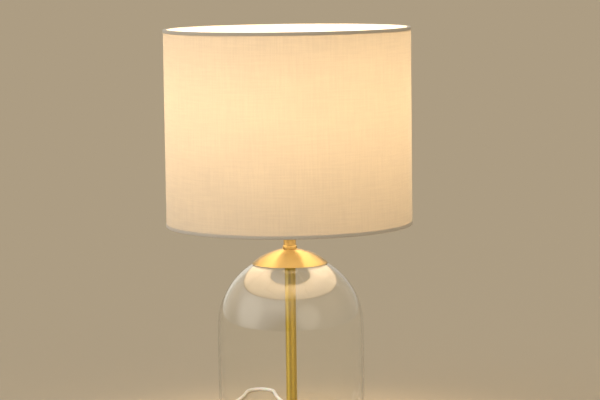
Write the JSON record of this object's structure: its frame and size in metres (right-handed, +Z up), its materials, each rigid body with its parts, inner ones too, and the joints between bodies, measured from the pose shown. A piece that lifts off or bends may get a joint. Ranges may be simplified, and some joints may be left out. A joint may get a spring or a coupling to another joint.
{
  "type": "table lamp",
  "caption": "Table lamp: a drum shade on a brushed brass column that stands inside a domed clear glass cloche, with a coiled mains flex and rocker switch.",
  "frame": {"origin": "centre of the felt foot, on the surface that the lamp stands on", "axes": "+Z up the column; +Y towards the rear, where the flex leaves the base; +X to the right seen from the front"},
  "size_m": [0.3008, 0.5608, 0.525],
  "materials": {
    "brushed_brass": "satin, brushed",
    "cast_weight": "as cast",
    "black_cover": "matt black",
    "felt": "wool felt",
    "plated_steel": "zinc plated",
    "clear_silicone": "translucent",
    "clear_glass": "clear, polished",
    "white_holder": "moulded",
    "ceramic": "glazed",
    "nickel_shell": "nickel plated",
    "contact_brass": "plain",
    "white_wire": "white powder coat",
    "shade_tape": "woven cotton tape",
    "shade_fabric": "fine woven cotton",
    "shade_liner": "white laminate",
    "black_glass": "gloss",
    "bulb_plastic": "moulded",
    "led_board": "white solder mask",
    "opal_globe": "frosted",
    "brown_pvc": "extruded",
    "blue_pvc": "extruded",
    "clear_flex": "translucent, extruded",
    "white_plug": "moulded",
    "tie_plastic": "soft"
  },
  "bodies": {
    "stand": {"base_cover": "black_cover", "base_nut": "plated_steel", "base_shell": "brushed_brass", "base_washer": "plated_steel", "base_weight": "cast_weight", "cap_nut": "plated_steel", "clamp_screws": "plated_steel", "cloche_gasket": "clear_silicone", "coil_tie": "tie_plastic", "collar_nut": "brushed_brass", "column_foot": "brushed_brass", "column_tube": "brushed_brass", "cord_clamp": "white_holder", "dome_cap": "brushed_brass", "felt_foot": "felt", "flex_coil": "clear_flex", "flex_tail": "clear_flex", "flex_to_coil": "clear_flex", "flex_to_plug": "clear_flex", "flex_to_switch": "clear_flex", "glass_cloche": "clear_glass", "glass_hole_bush": "clear_silicone", "glass_support_disc": "plated_steel", "holder_body": "white_holder", "holder_centre_contact": "contact_brass", "holder_cup": "brushed_brass", "holder_insert": "ceramic", "holder_screw_shell": "nickel_shell", "live_lead": "brown_pvc", "lower_glass_washer": "clear_silicone", "neutral_lead": "blue_pvc", "plug_body": "white_plug", "plug_pins": "nickel_shell", "plug_relief": "white_plug", "strain_relief": "white_plug", "switch_base": "white_plug", "switch_contacts": "contact_brass", "switch_cover": "white_plug", "switch_screws": "plated_steel", "terminal_screws": "plated_steel", "threaded_rod": "plated_steel", "upper_glass_washer": "clear_silicone"},
    "shade": {"shade_top_wire": "white_wire", "shade_bottom_wire": "white_wire", "gimbal_ring": "white_wire", "gimbal_arms": "white_wire", "shade_top_trim": "shade_tape", "shade_bottom_trim": "shade_tape", "shade_fabric": "shade_fabric", "shade_liner": "shade_liner"},
    "fitting_ring": {"retaining_ring": "white_holder"},
    "bulb_carrier": {"bulb_contact": "contact_brass"},
    "bulb": {"bulb_insulator": "black_glass", "bulb_screw_cap": "nickel_shell", "bulb_housing": "bulb_plastic", "bulb_led_board": "led_board", "bulb_globe": "opal_globe"},
    "rocker": {"switch_rocker": "white_plug"}
  },
  "joints": [
    {"name": "shade_turn", "type": "hinge", "parent": "stand", "child": "shade", "pos_m": [0, 0, 0.302], "axis": [0, 0, 1], "continuous": true},
    {"name": "ring_turn", "type": "hinge", "parent": "stand", "child": "fitting_ring", "pos_m": [0, 0, 0.3063], "axis": [0, 0, 1], "range_deg": [0, 360]},
    {"name": "bulb_travel", "type": "slide", "parent": "stand", "child": "bulb_carrier", "axis": [0, 0, 1], "range_m": [0, 0.0255]},
    {"name": "bulb_turn", "type": "hinge", "parent": "bulb_carrier", "child": "bulb", "pos_m": [0, 0, 0.3], "axis": [0, 0, 1], "range_deg": [0, 2520]},
    {"name": "rocker_tip", "type": "hinge", "parent": "stand", "child": "rocker", "pos_m": [-0.122, 0.2, 0.012], "axis": [1, 0, 0], "range_deg": [-20, 0]}
  ],
  "couplings": [
    {"joint": "bulb_travel", "follows": "bulb_turn", "m_per_rad": 0.00057757}
  ]
}
